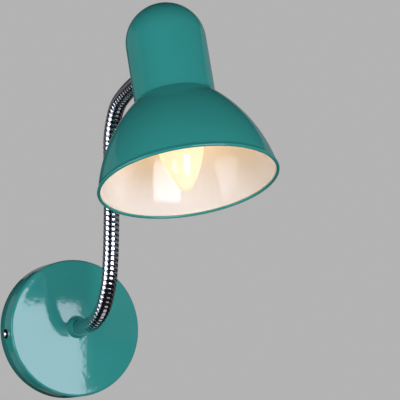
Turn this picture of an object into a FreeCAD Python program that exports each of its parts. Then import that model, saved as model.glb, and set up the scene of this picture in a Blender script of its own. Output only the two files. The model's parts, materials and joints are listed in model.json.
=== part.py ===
"""Gooseneck wall sconce: wall cup, flexible chrome arm, spun steel shade and candle lamp.

Row frame: the wall is the plane Y = 0, the room is towards -Y and Z points up.
The origin is the centre of the wall cup's back.  All sizes are in millimetres.

Three working frames keep the outlines simple:
  wall frame    x = X, y = Z, z = depth out of the wall
  head frame    z runs up the shade from the plane of its mouth, y points to the arm
  holder frame  z runs up the lamp from the seat of the lampholder
"""
import FreeCAD, Part
import Sketcher
import math
import os

os.makedirs("parts", exist_ok=True)

doc = FreeCAD.newDocument("gooseneck_wall_sconce")
V = FreeCAD.Vector
X_AXIS = V(1, 0, 0)
Y_AXIS = V(0, 1, 0)
Z_AXIS = V(0, 0, 1)

# ---------------------------------------------------------------- driving dimensions

DRIVING = [
    # wall cup
    ("cup_radius", 55.0), ("cup_depth", 25.5), ("cup_wall", 1.0), ("cup_edge", 2.0),
    ("cup_rise", 2.0), ("cup_band", 51.0), ("cup_crown", 626.0), ("land_radius", 10.0),
    ("boss_radius", 7.3), ("boss_front", 31.0), ("boss_edge", 1.4),
    ("side_screw_depth", 13.0), ("side_screw_drop", 5.0),
    # crossbar behind the cup
    ("bar_half", 51.5), ("bar_width", 18.0), ("bar_thick", 1.5), ("lug_height", 20.0),
    ("bend_radius", 2.0), ("slot_x", 30.0), ("slot_half_width", 2.25), ("slot_length", 12.0),
    ("cable_hole", 6.0), ("earth_x", 17.0), ("earth_drop", 1.5),
    ("screw_shank", 2.0), ("screw_gap", 0.05), ("block_screw", 1.5),
    # terminal block
    ("block_x", 8.0), ("block_width", 14.0), ("block_length", 16.0), ("block_height", 12.0),
    ("pole_pitch", 8.0), ("insert_radius", 2.1), ("insert_bore", 1.3), ("insert_height", 5.0),
    # gooseneck
    ("rib_pitch", 3.9), ("rib_crest", 6.0), ("rib_groove", 5.2), ("rib_flank", 0.75),
    ("link_gap", 1.4), ("hose_bore", 3.2), ("seat_bore", 4.5), ("seat_play", 0.1),
    ("plug_neck", 3.8), ("hinge_offset", 2.4), ("plug_half", 1.8), ("seat_depth", 5.2),
    ("arm_roll", -0.55), ("head_twist", -0.8),
    # hollow threaded ends of the arm, with their nuts and washers
    ("nipple_radius", 4.0), ("nipple_bore", 2.9), ("nipple_grip", 8.0), ("hole_play", 0.1),
    ("nipple_past_nut", 2.5), ("nut_flats", 13.0), ("nut_height", 4.0),
    ("washer_radius", 6.4), ("washer_thick", 0.8),
    # shade
    ("shade_wall", 1.0), ("barrel_radius", 30.1), ("dome_base", 114.2), ("crease_height", 66.5),
    ("bell_arc", 115.6), ("lip_radius", 1.25), ("lip_centre", 65.7), ("arm_height", 110.0),
    # lampholder and its bracket
    ("holder_seat", 100.5), ("holder_lean", 3.0), ("bracket_face", 28.22), ("bracket_width", 14.0),
    ("bracket_thick", 1.5), ("bracket_top", 119.0), ("bracket_nose", 14.0),
    ("holder_radius", 18.5), ("holder_waist", 16.5), ("holder_length", 36.0),
    ("socket_radius", 13.9), ("socket_end", 8.0), ("post_x", 11.5),
    # candle lamp
    ("lamp_tip", 104.0), ("lamp_radius", 18.5), ("lamp_waist", 48.5), ("lamp_neck", 12.8),
    ("lamp_glass", 67.5), ("tip_radius", 6.0), ("cap_radius", 13.2),
    ("glass_wall", 1.0), ("cap_wall", 0.6),
    ("wire_radius", 0.85),
]

sheet = doc.addObject("Spreadsheet::Sheet", "Sizes")
for row, (alias, number) in enumerate(DRIVING, start=1):
    sheet.set("A%d" % row, alias)
    sheet.set("B%d" % row, str(number))
    sheet.setAlias("B%d" % row, alias)
doc.recompute()


class Dim:
    """A size: its value now, and the sheet expression that gives it."""

    def __init__(self, value, text):
        self.value = value
        self.text = text

    def __add__(self, other):
        other = as_dim(other)
        return Dim(self.value + other.value, "(%s + %s)" % (self.text, other.text))

    def __sub__(self, other):
        other = as_dim(other)
        return Dim(self.value - other.value, "(%s - %s)" % (self.text, other.text))

    def __mul__(self, factor):
        return Dim(self.value * factor, "(%s * %.9f)" % (self.text, factor))

    def __neg__(self):
        return Dim(-self.value, "(-1 * %s)" % self.text)


def as_dim(size):
    if isinstance(size, Dim):
        return size
    return Dim(float(size), "%.6f" % size)


def size(alias):
    return Dim(float(sheet.get(alias)), "Sizes.%s" % alias)


def mm(alias):
    return float(sheet.get(alias))


# ---------------------------------------------------------------- route of the gooseneck

# Ribs in each link of the arm and how far it turns, in degrees, lowest link first.
LINK_RIBS = [4, 6, 6, 6, 6, 6, 6, 6, 6, 6, 6, 6, 4]
LINK_TURNS = [0, 23.5, 31.5, 23.5, 6.5, 2, 2.5, -0.5, -29.5, -40, -8, 5, 0]


def link_length(link):
    return LINK_RIBS[link] * mm("rib_pitch")


def step_along(point, heading, length, turn):
    """Point and heading after a stretch of even bend; heading 0 leaves the wall."""
    if abs(turn) < 1e-9:
        return point + V(0, -math.cos(heading), math.sin(heading)) * length, heading
    radius = length / turn
    end = heading + turn
    shift = V(0, -(math.sin(end) - math.sin(heading)), math.cos(heading) - math.cos(end)) * radius
    return point + shift, end


def place_in_link(link, along):
    """Point and heading on the centre line: straight in the seat, then an even bend."""
    point, heading = LINK_STARTS[link]
    straight = mm("seat_depth")
    turn = math.radians(LINK_TURNS[link])
    bend = link_length(link) - straight
    if along <= straight or turn == 0:
        return step_along(point, heading, along, 0.0)
    point, heading = step_along(point, heading, straight, 0.0)
    bent = min(along - straight, bend)
    point, heading = step_along(point, heading, bent, turn * bent / bend)
    return step_along(point, heading, along - straight - bent, 0.0)


LINK_STARTS = [(V(0, -mm("boss_front"), 0), 0.0)]
for link_above in range(1, len(LINK_RIBS)):
    LINK_STARTS.append(place_in_link(link_above - 1, link_length(link_above - 1)))
ARM_END = place_in_link(len(LINK_RIBS) - 1, link_length(len(LINK_RIBS) - 1))[0]


# ---------------------------------------------------------------- working frames

# The arm stands a little askew on the boss.  It meets the shade's barrel square on, so the
# shade leans as far as the arm turns, and it is twisted a little on the arm's end.
WALL = FreeCAD.Placement(V(0, 0, 0), FreeCAD.Rotation(X_AXIS, 90))
ARM = FreeCAD.Placement(V(0, 0, 0), FreeCAD.Rotation(Y_AXIS, mm("arm_roll")))
LEAN = FreeCAD.Rotation(X_AXIS, -sum(LINK_TURNS))
TWIST = FreeCAD.Rotation(Y_AXIS, mm("head_twist"))
HEAD = ARM.multiply(FreeCAD.Placement(ARM_END, LEAN.multiply(TWIST))).multiply(
    FreeCAD.Placement(V(0, -mm("barrel_radius"), -mm("arm_height")), FreeCAD.Rotation()))
HOLDER = HEAD.multiply(FreeCAD.Placement(V(0, 0, mm("holder_seat")),
                                         FreeCAD.Rotation(X_AXIS, mm("holder_lean"))))
print("mouth of the shade at x %.2f y %.2f z %.2f, leaning %.1f degrees"
      % (*HEAD.Base, sum(LINK_TURNS)))

# ---------------------------------------------------------------- sketch and solid helpers

subparts = []


def new_body(label, frame):
    body = doc.addObject("PartDesign::Body", label)
    body.Label = label
    body.Placement = frame
    subparts.append(body)
    return body


def new_sketch(body, role, offset=0.0):
    plane = [f for f in body.Origin.OriginFeatures if f.Role == role][0]
    sketch = body.newObject("Sketcher::SketchObject", body.Label + "_sketch")
    sketch.AttachmentSupport = (plane, [""])
    sketch.MapMode = "FlatFace"
    sketch.AttachmentOffset = FreeCAD.Placement(V(0, 0, offset), FreeCAD.Rotation())
    return sketch


def bind(sketch, kind, where, dim):
    index = sketch.addConstraint(Sketcher.Constraint(kind, *where, dim.value))
    if "Sizes." in dim.text:
        sketch.setExpression("Constraints[%d]" % index, dim.text)


def arc_edge(start, end, radius):
    """Short arc between two points, anticlockwise for a positive radius."""
    chord = end - start
    half = chord.Length / 2
    height = math.sqrt(max(radius * radius - half * half, 0.0))
    side = V(-chord.y, chord.x, 0).normalize()
    centre = start + chord * 0.5 + side * math.copysign(height, radius)
    first, last = (start, end) if radius > 0 else (end, start)
    angle_a = math.atan2(first.y - centre.y, first.x - centre.x)
    angle_b = math.atan2(last.y - centre.y, last.x - centre.x)
    if angle_b < angle_a:
        angle_b += 2 * math.pi
    return Part.ArcOfCircle(Part.Circle(centre, Z_AXIS, abs(radius)), angle_a, angle_b)


def outline(sketch, corners):
    """Closed outline.  A corner is (x, y), or (x, y, radius) where an arc arrives at it."""
    spots = [(as_dim(c[0]), as_dim(c[1])) for c in corners]
    points = [V(x.value, y.value, 0) for x, y in spots]
    ends = []
    for index, corner in enumerate(corners):
        start, end = points[index - 1], points[index]
        if len(corner) == 3:
            radius = as_dim(corner[2])
            edge = sketch.addGeometry(arc_edge(start, end, radius.value), False)
            ends.append((edge, 1, 2) if radius.value > 0 else (edge, 2, 1))
            if abs((end - start).Length - 2 * abs(radius.value)) > 1e-6:
                bind(sketch, "Radius", (edge,), radius if radius.value > 0 else -radius)
            else:
                bind(sketch, "DistanceX", (-1, 1, edge, 3), spots[index][0])
        else:
            edge = sketch.addGeometry(Part.LineSegment(start, end), False)
            ends.append((edge, 1, 2))
    for index, (edge, first, last) in enumerate(ends):
        following = ends[(index + 1) % len(ends)]
        sketch.addConstraint(Sketcher.Constraint("Coincident", edge, last, following[0], following[1]))
        bind(sketch, "DistanceX", (-1, 1, edge, last), spots[index][0])
        bind(sketch, "DistanceY", (-1, 1, edge, last), spots[index][1])


def circle(sketch, x, y, radius):
    x, y, radius = as_dim(x), as_dim(y), as_dim(radius)
    edge = sketch.addGeometry(Part.Circle(V(x.value, y.value, 0), Z_AXIS, radius.value), False)
    bind(sketch, "Radius", (edge,), radius)
    bind(sketch, "DistanceX", (-1, 1, edge, 3), x)
    bind(sketch, "DistanceY", (-1, 1, edge, 3), y)


def slot(sketch, x, y, length, half_width):
    """Round-ended slot along x, its length taken from end to end."""
    x, y = as_dim(x), as_dim(y)
    reach = length * 0.5 - half_width
    outline(sketch, [(x + reach, y - half_width), (x + reach, y + half_width, half_width),
                     (x - reach, y + half_width), (x - reach, y - half_width, half_width)])


def revolve(body, corners):
    """Turned or spun piece: an outline in the half plane x >= 0, turned about z."""
    sketch = new_sketch(body, "XZ_Plane")
    outline(sketch, corners)
    turned = body.newObject("PartDesign::Revolution", body.Label + "_turned")
    turned.Profile = sketch
    turned.ReferenceAxis = (sketch, ["V_Axis"])
    turned.Angle = 360
    return turned


def pad(body, sketch, length):
    solid = body.newObject("PartDesign::Pad", body.Label + "_pad")
    solid.Profile = sketch
    length = as_dim(length)
    solid.Length = length.value
    if "Sizes." in length.text:
        solid.setExpression("Length", length.text)
    return solid


def cut_through(body, sketch, depth):
    """Pocket through a plate that stands on the sketch plane."""
    doc.recompute()
    before = body.Shape.Volume
    pocket = body.newObject("PartDesign::Pocket", body.Label + "_cut")
    pocket.Profile = sketch
    pocket.Length = depth.value
    pocket.setExpression("Length", depth.text)
    pocket.Reversed = True
    doc.recompute()
    print("%s: pocket takes %.1f mm3" % (body.Label, before - body.Shape.Volume))


def drill(body, radius, base, direction, length):
    """Plain hole from a base point along a direction."""
    radius = as_dim(radius)
    hole = body.newObject("PartDesign::SubtractiveCylinder", body.Label + "_hole")
    hole.Radius = radius.value
    if "Sizes." in radius.text:
        hole.setExpression("Radius", radius.text)
    hole.Height = length
    hole.Placement = FreeCAD.Placement(base, FreeCAD.Rotation(Z_AXIS, direction))
    return hole


def mill(body, corner, sides):
    """Rectangular pocket from its lowest corner and its three sides."""
    box = body.newObject("PartDesign::SubtractiveBox", body.Label + "_pocket")
    box.Length, box.Width, box.Height = sides
    box.Placement = FreeCAD.Placement(corner, FreeCAD.Rotation())
    return box


def plain_feature(label, shape, frame):
    feature = doc.addObject("Part::Feature", label)
    feature.Label = label
    feature.Shape = shape
    feature.Placement = frame
    subparts.append(feature)
    return feature


# ---------------------------------------------------------------- repeated hardware

def hexagon(flats):
    """Corners of a hexagon with two flats across y."""
    corner = flats * (1 / math.sqrt(3))
    turns = [math.radians(60 * step) for step in range(6)]
    return [(corner * math.cos(turn), corner * math.sin(turn)) for turn in turns]


def hex_nut(label, frame):
    body = new_body(label, frame)
    sketch = new_sketch(body, "XY_Plane")
    outline(sketch, hexagon(size("nut_flats")))
    circle(sketch, 0, 0, size("nipple_radius"))
    pad(body, sketch, size("nut_height"))


def toothed_washer(label, frame):
    """Lock washer: a ring with a row of notches round its rim."""
    body = new_body(label, frame)
    sketch = new_sketch(body, "XY_Plane")
    circle(sketch, 0, 0, size("washer_radius"))
    circle(sketch, 0, 0, size("nipple_radius") + size("hole_play"))
    pad(body, sketch, size("washer_thick"))
    notch = mill(body, V(mm("washer_radius") - 1.4, -0.6, -1), (2, 1.2, 3))
    pattern = body.newObject("PartDesign::PolarPattern", label + "_teeth")
    pattern.Originals = [notch]
    axis = [f for f in body.Origin.OriginFeatures if f.Role == "Z_Axis"][0]
    pattern.Axis = (axis, [""])
    pattern.Angle = 360
    pattern.Occurrences = 8
    body.Tip = pattern


def nipple(label, frame, length):
    """Hollow threaded tube that carries the wires through a wall."""
    body = new_body(label, frame)
    sketch = new_sketch(body, "XY_Plane")
    circle(sketch, 0, 0, size("nipple_radius"))
    circle(sketch, 0, 0, size("nipple_bore"))
    pad(body, sketch, length)


def screw_shape(head_radius, head_height, shank_radius, shank_length):
    """Domed screw: head above z = 0, shank below it."""
    crown = (head_radius ** 2 + head_height ** 2) / (2 * head_height)
    top = V(0, 0, head_height)
    half = V(crown * math.sin(math.asin(head_radius / crown) / 2), 0,
             head_height - crown + crown * math.cos(math.asin(head_radius / crown) / 2))
    rim = V(head_radius, 0, 0)
    edges = [Part.Arc(top, half, rim).toShape(),
             Part.LineSegment(rim, V(shank_radius, 0, 0)).toShape(),
             Part.LineSegment(V(shank_radius, 0, 0), V(shank_radius, 0, -shank_length)).toShape(),
             Part.LineSegment(V(shank_radius, 0, -shank_length), V(0, 0, -shank_length)).toShape(),
             Part.LineSegment(V(0, 0, -shank_length), top).toShape()]
    return Part.Face(Part.Wire(edges)).revolve(V(0, 0, 0), Z_AXIS, 360)


def screws(label, places, shape, frame):
    """One node for a set of like screws: (seat point, direction of the head) each."""
    copies = []
    for seat, heading in places:
        copy = shape.copy()
        copy.Placement = FreeCAD.Placement(seat, FreeCAD.Rotation(Z_AXIS, heading))
        copies.append(copy)
    plain_feature(label, Part.makeCompound(copies), frame)


def wire_path(points):
    """Straight runs joined by arcs that touch both, each as large as its runs allow."""
    cuts = []
    for before, corner, after in zip(points, points[1:], points[2:]):
        back, ahead = before - corner, after - corner
        turn = math.pi - back.getAngle(ahead)
        setback = 0.45 * min(back.Length, ahead.Length)
        middle = (back.normalize() + ahead.normalize()).normalize()
        radius = setback / math.tan(turn / 2)
        depth = radius / math.cos(turn / 2) - radius
        cuts.append((corner + back * setback, corner + middle * depth, corner + ahead * setback))
    edges = []
    here = points[0]
    for first, centre, last in cuts:
        edges.append(Part.LineSegment(here, first).toShape())
        edges.append(Part.Arc(first, centre, last).toShape())
        here = last
    edges.append(Part.LineSegment(here, points[-1]).toShape())
    return Part.Wire(edges)


def insulated_wire(label, points, frame):
    path = wire_path(points)
    ring = Part.Circle(points[0], points[1] - points[0], mm("wire_radius")).toShape()
    tube = path.makePipeShell([Part.Wire([ring])], True, False)
    ideal = math.pi * mm("wire_radius") ** 2 * path.Length
    print("%s: %.1f mm long, volume %.3f of its section times length"
          % (label, path.Length, tube.Volume / ideal))
    plain_feature(label, tube, frame)


def ring_tag(label, barrel_offset, barrel_length, frame):
    """Crimped ring terminal: an eye on the screw and a barrel for the wire along y."""
    eye = Part.makeCylinder(4.0, 0.8)
    eye = eye.cut(Part.makeCylinder(mm("screw_shank") + mm("screw_gap"), 0.8))
    barrel = Part.makeCylinder(1.5, barrel_length, V(0, barrel_offset, 1.5), Y_AXIS)
    barrel = barrel.cut(Part.makeCylinder(0.95, barrel_length, V(0, barrel_offset, 1.5), Y_AXIS))
    tongue = Part.makeBox(2.6, barrel_offset + 0.6, 0.8, V(-1.3, 0, 0))
    tongue = tongue.cut(Part.makeCylinder(3.0, 0.8))
    plain_feature(label, eye.fuse(tongue).fuse(barrel).removeSplitter(), frame)


# ---------------------------------------------------------------- wall cup and crossbar

def make_canopy():
    """Spun steel cup: straight side, small rolled edge, crowned face and a drawn boss."""
    wall, edge = size("cup_wall"), size("cup_edge")
    radius, depth = size("cup_radius"), size("cup_depth")
    land = depth + size("cup_rise")
    boss, front, soft = size("boss_radius"), size("boss_front"), size("boss_edge")
    crown = size("cup_crown")
    hole = size("nipple_radius") + size("hole_play")
    body = new_body("canopy", WALL)
    revolve(body, [
        (radius, 0), (radius, depth - edge), (radius - edge, depth, edge),
        (size("cup_band"), depth), (size("land_radius"), land, crown), (boss, land),
        (boss, front - soft), (boss - soft, front, soft), (hole, front),
        (hole, front - wall), (boss - wall, front - wall), (boss - wall, land - wall),
        (size("land_radius"), land - wall), (size("cup_band"), depth - wall, -crown),
        (radius - edge, depth - wall), (radius - wall, depth - edge, -(edge - wall)),
        (radius - wall, 0)])
    across = V(-mm("cup_radius") - 1, -mm("side_screw_drop"), mm("side_screw_depth"))
    drill(body, size("screw_shank") + 0.2, across, X_AXIS, 2 * mm("cup_radius") + 2)


def make_crossbar():
    """Bent steel strip on the wall: two slots, a cable hole and two tapped lugs."""
    half, thick, tall = size("bar_half"), size("bar_thick"), size("lug_height")
    bend = size("bend_radius")
    body = new_body("wall_bracket", WALL)
    sketch = new_sketch(body, "XZ_Plane", -mm("bar_width") / 2)
    outline(sketch, [
        (bend - half, 0, bend), (half - bend, 0), (half, bend, bend), (half, tall),
        (half - thick, tall), (half - thick, bend), (half - bend, thick, -(bend - thick)),
        (bend - half, thick), (thick - half, bend, -(bend - thick)), (thick - half, tall),
        (-half, tall), (-half, bend)])
    pad(body, sketch, size("bar_width"))
    openings = new_sketch(body, "XY_Plane")
    slot(openings, size("slot_x"), 0, size("slot_length"), size("slot_half_width"))
    slot(openings, -size("slot_x"), 0, size("slot_length"), size("slot_half_width"))
    circle(openings, 0, 0, size("cable_hole"))
    circle(openings, -size("earth_x"), -size("earth_drop"), size("screw_shank") + size("screw_gap"))
    circle(openings, size("block_x") + size("block_width") * 0.5, 0,
           size("block_screw") + size("screw_gap"))
    cut_through(body, openings, size("bar_thick"))
    tapped = size("screw_shank") + size("screw_gap")
    start = V(-mm("bar_half") - 1, -mm("side_screw_drop"), mm("side_screw_depth"))
    drill(body, tapped, start, X_AXIS, 2 * mm("bar_half") + 2)


def make_wall_screws():
    """Side screws of the cup, the earth screw and the screw that holds the block."""
    drop, thick = mm("side_screw_drop"), mm("bar_thick")
    depth, shank = mm("side_screw_depth"), mm("screw_shank")
    side = screw_shape(4.0, 2.8, shank, 9.0)
    seat = mm("cup_radius")
    screws("canopy_screws", [(V(seat, -drop, depth), X_AXIS), (V(-seat, -drop, depth), -X_AXIS)],
           side, WALL)
    tag_top = thick + mm("washer_thick")
    earth = screw_shape(3.6, 2.4, shank, tag_top - 0.2)
    eye = V(-mm("earth_x"), -mm("earth_drop"), thick)
    screws("earth_screw", [(eye + V(0, 0, tag_top - thick), Z_AXIS)], earth, WALL)
    seat = thick + 7.3
    fixing = screw_shape(2.7, 1.6, mm("block_screw"), seat - 0.2)
    middle = V(mm("block_x") + mm("block_width") / 2, 0, seat)
    screws("block_screw", [(middle, Z_AXIS)], fixing, WALL)
    ring_tag("earth_tag", 3.4, 6.0,
             WALL.multiply(FreeCAD.Placement(eye, FreeCAD.Rotation(Z_AXIS, -90))))


def make_terminal_block():
    """Two-pole screw terminal: moulded body, brass tubes and clamping screws."""
    x0, wide = mm("block_x"), mm("block_width")
    long, tall = mm("block_length"), mm("block_height")
    y0 = -long / 2
    z0 = mm("bar_thick")
    middle = x0 + wide / 2
    body = new_body("terminal_block", WALL)
    sketch = new_sketch(body, "XZ_Plane", -(y0 + long))
    waist = size("block_width") * 0.5 + size("block_x")
    left, right = size("block_x"), size("block_x") + size("block_width")
    base, top = size("bar_thick"), size("bar_thick") + size("block_height")
    outline(sketch, [(left, base), (right, base), (right, top - 2), (right - 2, top, 2),
                     (waist + 2, top), (waist, top - 2, 2), (waist - 2, top, 2),
                     (left + 2, top), (left, top - 2, 2)])
    pad(body, sketch, size("block_length"))
    pitch, height = mm("pole_pitch"), z0 + mm("insert_height")
    for side in (-0.5, 0.5):
        x = middle + side * pitch
        drill(body, size("insert_radius"), V(x, y0 - 1, height), Y_AXIS, long + 2)
        for end in (-4, 4):
            drill(body, 1.6, V(x, end, height), Z_AXIS, tall)
    drill(body, size("block_screw") + size("screw_gap"), V(middle, 0, z0 - 1), Z_AXIS, tall + 2)
    drill(body, 2.8, V(middle, 0, z0 + 7.3), Z_AXIS, tall)
    insert_tubes(middle, height, long - 3, pitch)


def insert_tubes(middle, height, long, pitch):
    """Brass tubes in the block, each with a clamping screw near either end."""
    tubes = []
    seats = []
    for side in (-0.5, 0.5):
        mouth = V(middle + side * pitch, -long / 2, height)
        tube = Part.makeCylinder(mm("insert_radius"), long, mouth, Y_AXIS)
        tube = tube.cut(Part.makeCylinder(mm("insert_bore"), long, mouth, Y_AXIS))
        for end in (-4, 4):
            tube = tube.cut(Part.makeCylinder(1.15, 4, V(mouth.x, end, height), Z_AXIS))
            seats.append((V(mouth.x, end, height + 3.6), Z_AXIS))
        tubes.append(tube)
    plain_feature("terminal_inserts", Part.makeCompound(tubes), WALL)
    screws("terminal_screws", seats, screw_shape(1.5, 0.6, 1.15, 1.9), WALL)


def wall_depth(depth):
    return WALL.multiply(FreeCAD.Placement(V(0, 0, depth), FreeCAD.Rotation()))


def make_base_wiring():
    """Hollow threaded end of the arm in the cup, its nut and washer, and three wires."""
    land = mm("cup_depth") + mm("cup_rise") - mm("cup_wall")
    washer = land - mm("washer_thick")
    nut = washer - mm("nut_height")
    inner_end = nut - mm("nipple_past_nut")
    outer_end = mm("boss_front") + mm("nipple_grip")
    nipple("base_nipple", wall_depth(inner_end), outer_end - inner_end)
    toothed_washer("base_washer", wall_depth(washer))
    hex_nut("base_nut", wall_depth(nut))
    start = outer_end - 2
    low = mm("bar_thick")
    pole = mm("block_x") + mm("block_width") / 2
    reach = mm("pole_pitch") / 2
    entry = low + mm("insert_height")
    insulated_wire("base_live_wire", [
        V(-1.3, 0.75, start), V(-1.3, 0.75, 8), V(-1.3, 27, 9),
        V(pole + reach, 27, entry), V(pole + reach, 0, entry)], WALL)
    insulated_wire("base_neutral_wire", [
        V(1.3, 0.75, start), V(1.3, 0.75, 8), V(1.3, 20, 8),
        V(pole - reach, 20, entry), V(pole - reach, 0, entry)], WALL)
    insulated_wire("base_earth_wire", [
        V(0, -mm("earth_drop"), start), V(0, -mm("earth_drop"), low + 1.5),
        V(-12, -mm("earth_drop"), low + 1.5)], WALL)


# ---------------------------------------------------------------- gooseneck

RING_SIDES = 12


def ring(link, along, radius):
    """Twelve-sided ring square to the centre line, its first corner on the X side."""
    point, heading = place_in_link(link, along)
    across = V(0, math.sin(heading), math.cos(heading))
    corners = []
    for corner in range(RING_SIDES):
        turn = 2 * math.pi * corner / RING_SIDES
        corners.append(point + X_AXIS * (radius * math.cos(turn)) + across * (radius * math.sin(turn)))
    return Part.makePolygon(corners + corners[:1])


def ruled_solid(link, rings):
    return Part.makeLoft([ring(link, along, radius) for along, radius in rings], True, True)


def rib_rings(link, first, last):
    """Rings of the outer wall: groove, crest, crest, groove for every rib."""
    pitch, flank = mm("rib_pitch"), mm("rib_flank")
    groove, crest = mm("rib_groove"), mm("rib_crest")
    steep = flank / 2
    rings = [(first, groove)]
    for rib in range(LINK_RIBS[link]):
        low, high = rib * pitch, (rib + 1) * pitch
        rings.append((max(low + flank, first + steep), crest))
        rings.append((min(high - flank, last - steep), crest))
        rings.append((min(high, last), groove))
    return rings


def bore_rings(link, start, end, radius):
    """Rings of a bore, one for every second rib so that it follows the bend."""
    steps = max(1, round((end - start) / mm("rib_pitch") / 2))
    return [(start + (end - start) * step / steps, radius) for step in range(steps + 1)]


def make_link(link):
    """Stretch of ribbed hose whose barrel-shaped plug turns in the next stretch's seat."""
    last_link = len(LINK_RIBS) - 1
    gap, length = mm("link_gap") / 2, link_length(link)
    first = gap if link > 0 else 0.0
    last = length - gap if link < last_link else length
    body = ruled_solid(link, rib_rings(link, first, last))
    end = last
    if link < last_link:
        centre, half = length + mm("hinge_offset"), mm("plug_half")
        neck = mm("plug_neck")
        crown = mm("seat_bore") - mm("seat_play")
        plug = [(last - 1, neck), (centre - half, neck), (centre, crown), (centre + half, neck)]
        body = body.fuse(ruled_solid(link, plug))
        end = centre + half
    flat = 1 / math.cos(math.pi / RING_SIDES)
    bore = bore_rings(link, first - 1, end + 1, mm("hose_bore"))
    body = body.cut(ruled_solid(link, bore))
    grip = (mm("nipple_radius") + mm("hole_play")) * flat
    if link > 0:
        body = body.cut(ruled_solid(link, [(-1, mm("seat_bore") * flat),
                                           (mm("seat_depth"), mm("seat_bore") * flat)]))
    else:
        body = body.cut(ruled_solid(link, [(-1, grip), (mm("nipple_grip") + 0.5, grip)]))
    if link == last_link:
        body = body.cut(ruled_solid(link, [(length - mm("nipple_grip") - 0.5, grip),
                                           (length + 1, grip)]))
    plain_feature("arm_coil_%02d" % (link + 1), body, ARM)


def hinge_centres():
    """Centre and heading of each of the arm's hinges, lowest first."""
    places = []
    for link in range(1, len(LINK_RIBS)):
        places.append(place_in_link(link, mm("hinge_offset")))
    return places


def make_arm():
    for link in range(len(LINK_RIBS)):
        make_link(link)
    print("arm ends at %.2f %.2f %.2f" % tuple(ARM.multVec(ARM_END)))
    for centre, heading in hinge_centres():
        print("hinge at %.2f %.2f %.2f heading %.1f"
              % (*ARM.multVec(centre), math.degrees(heading)))


# ---------------------------------------------------------------- shade

def make_shade():
    """One spun shell: domed barrel, flared bell and a rolled lip."""
    wall, barrel = size("shade_wall"), size("barrel_radius")
    base, crease, bell = size("dome_base"), size("crease_height"), size("bell_arc")
    lip, centre = size("lip_radius"), size("lip_centre")
    body = new_body("shade_shell", HEAD)
    revolve(body, [
        (0, base + barrel - wall),
        (barrel - wall, base, -(barrel - wall)),
        (barrel - wall, crease - 0.4), (centre - 0.8, lip + 0.96, -(bell - wall)),
        (centre, 0, lip), (centre + 0.4, lip * 2 - 0.066, lip),
        (barrel, crease, bell), (barrel, base), (0, base + barrel, barrel)])
    behind = V(0, mm("barrel_radius") / 2, mm("arm_height"))
    drill(body, size("nipple_radius") + size("hole_play"), behind, Y_AXIS, mm("barrel_radius"))


def head_arm_side(y):
    """Frame on the arm's axis in the head, its z axis along the arm."""
    return HEAD.multiply(FreeCAD.Placement(V(0, y, mm("arm_height")),
                                           FreeCAD.Rotation(X_AXIS, -90)))


def make_head_fixings():
    """Hollow threaded end of the arm in the shade, with its nut and toothed washer."""
    inside = mm("bracket_face") - mm("bracket_thick")
    washer = inside - mm("washer_thick")
    nut = washer - mm("nut_height")
    inner_end = nut - 1.4
    nipple("head_nipple", head_arm_side(inner_end),
           mm("barrel_radius") + mm("nipple_grip") - inner_end)
    toothed_washer("head_washer", head_arm_side(washer))
    hex_nut("head_nut", head_arm_side(nut))


def make_holder_bracket():
    """Bent strip that hangs the lampholder from the end of the arm."""
    face, thick, width = size("bracket_face"), size("bracket_thick"), size("bracket_width")
    nose, top = size("bracket_nose"), size("bracket_top")
    slope = math.tan(math.radians(mm("holder_lean")))
    seat = size("holder_seat")
    rise = seat + face * slope
    body = new_body("lampholder_bracket", HEAD)
    sketch = new_sketch(body, "YZ_Plane", -mm("bracket_width") / 2)
    outline(sketch, [
        (face, rise), (face, top), (face - thick, top),
        (face - thick, rise + thick - thick * slope), (-nose, seat + thick - nose * slope),
        (-nose, seat - nose * slope)])
    pad(body, sketch, width)
    arm_hole = size("nipple_radius") + size("hole_play")
    drill(body, arm_hole, V(0, mm("bracket_face") - 5, mm("arm_height")), Y_AXIS, 10)
    for side in (-10, 10):
        drill(body, size("screw_shank") + size("screw_gap"),
              V(0, side, mm("holder_seat") - 5), Z_AXIS, 12)


# ---------------------------------------------------------------- lampholder

def make_lampholder():
    """Porcelain body with a threaded sleeve, a spring contact and two terminals."""
    outer, waist, bottom = size("holder_radius"), size("holder_waist"), -size("holder_length")
    socket, end = size("socket_radius"), -size("socket_end")
    body = new_body("lampholder_body", HOLDER)
    revolve(body, [
        (0, end), (socket, end), (socket, bottom), (outer - 1, bottom), (outer, bottom + 1, 1),
        (outer, -14), (waist, -12), (waist, -1), (waist - 1, 0, 1), (0, 0)])
    for side in (-10, 10):
        drill(body, size("screw_shank") + size("screw_gap"), V(0, side, -6.4), Z_AXIS, 8)
    post = mm("post_x")
    for side in (-post, post):
        mill(body, V(side - 2.6, -3.1, -6), (5.2, 6.2, 8))
    sleeve = new_body("holder_sleeve", HOLDER)
    revolve(sleeve, [
        (socket - 0.5, end - 0.5), (socket - 0.5, bottom + 1), (socket, bottom + 1),
        (socket, end - 0.5)])
    blocks = []
    for side in (-post, post):
        block = Part.makeBox(5, 6, 5.6, V(side - 2.5, -3, -6))
        blocks.append(block.cut(Part.makeCylinder(1.2, 5, V(side, 0, -4))))
    plain_feature("holder_terminals", Part.makeCompound(blocks), HOLDER)
    make_centre_contact()


def make_centre_contact():
    """Bent brass strip that presses on the end of the lamp."""
    flat, thick, width, raised = 6.0, 0.5, 5.0, 1.0
    end = -size("socket_end")
    body = new_body("centre_contact", HOLDER)
    sketch = new_sketch(body, "XZ_Plane", -width / 2)
    upper = [(-flat, end), (-3.4, end), (-2.2, end - raised), (2.2, end - raised),
             (3.4, end), (flat, end)]
    lower = [(flat, end - thick), (3.65, end - thick), (2.45, end - raised - thick),
             (-2.45, end - raised - thick), (-3.65, end - thick), (-flat, end - thick)]
    outline(sketch, upper + lower)
    pad(body, sketch, width)


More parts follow.
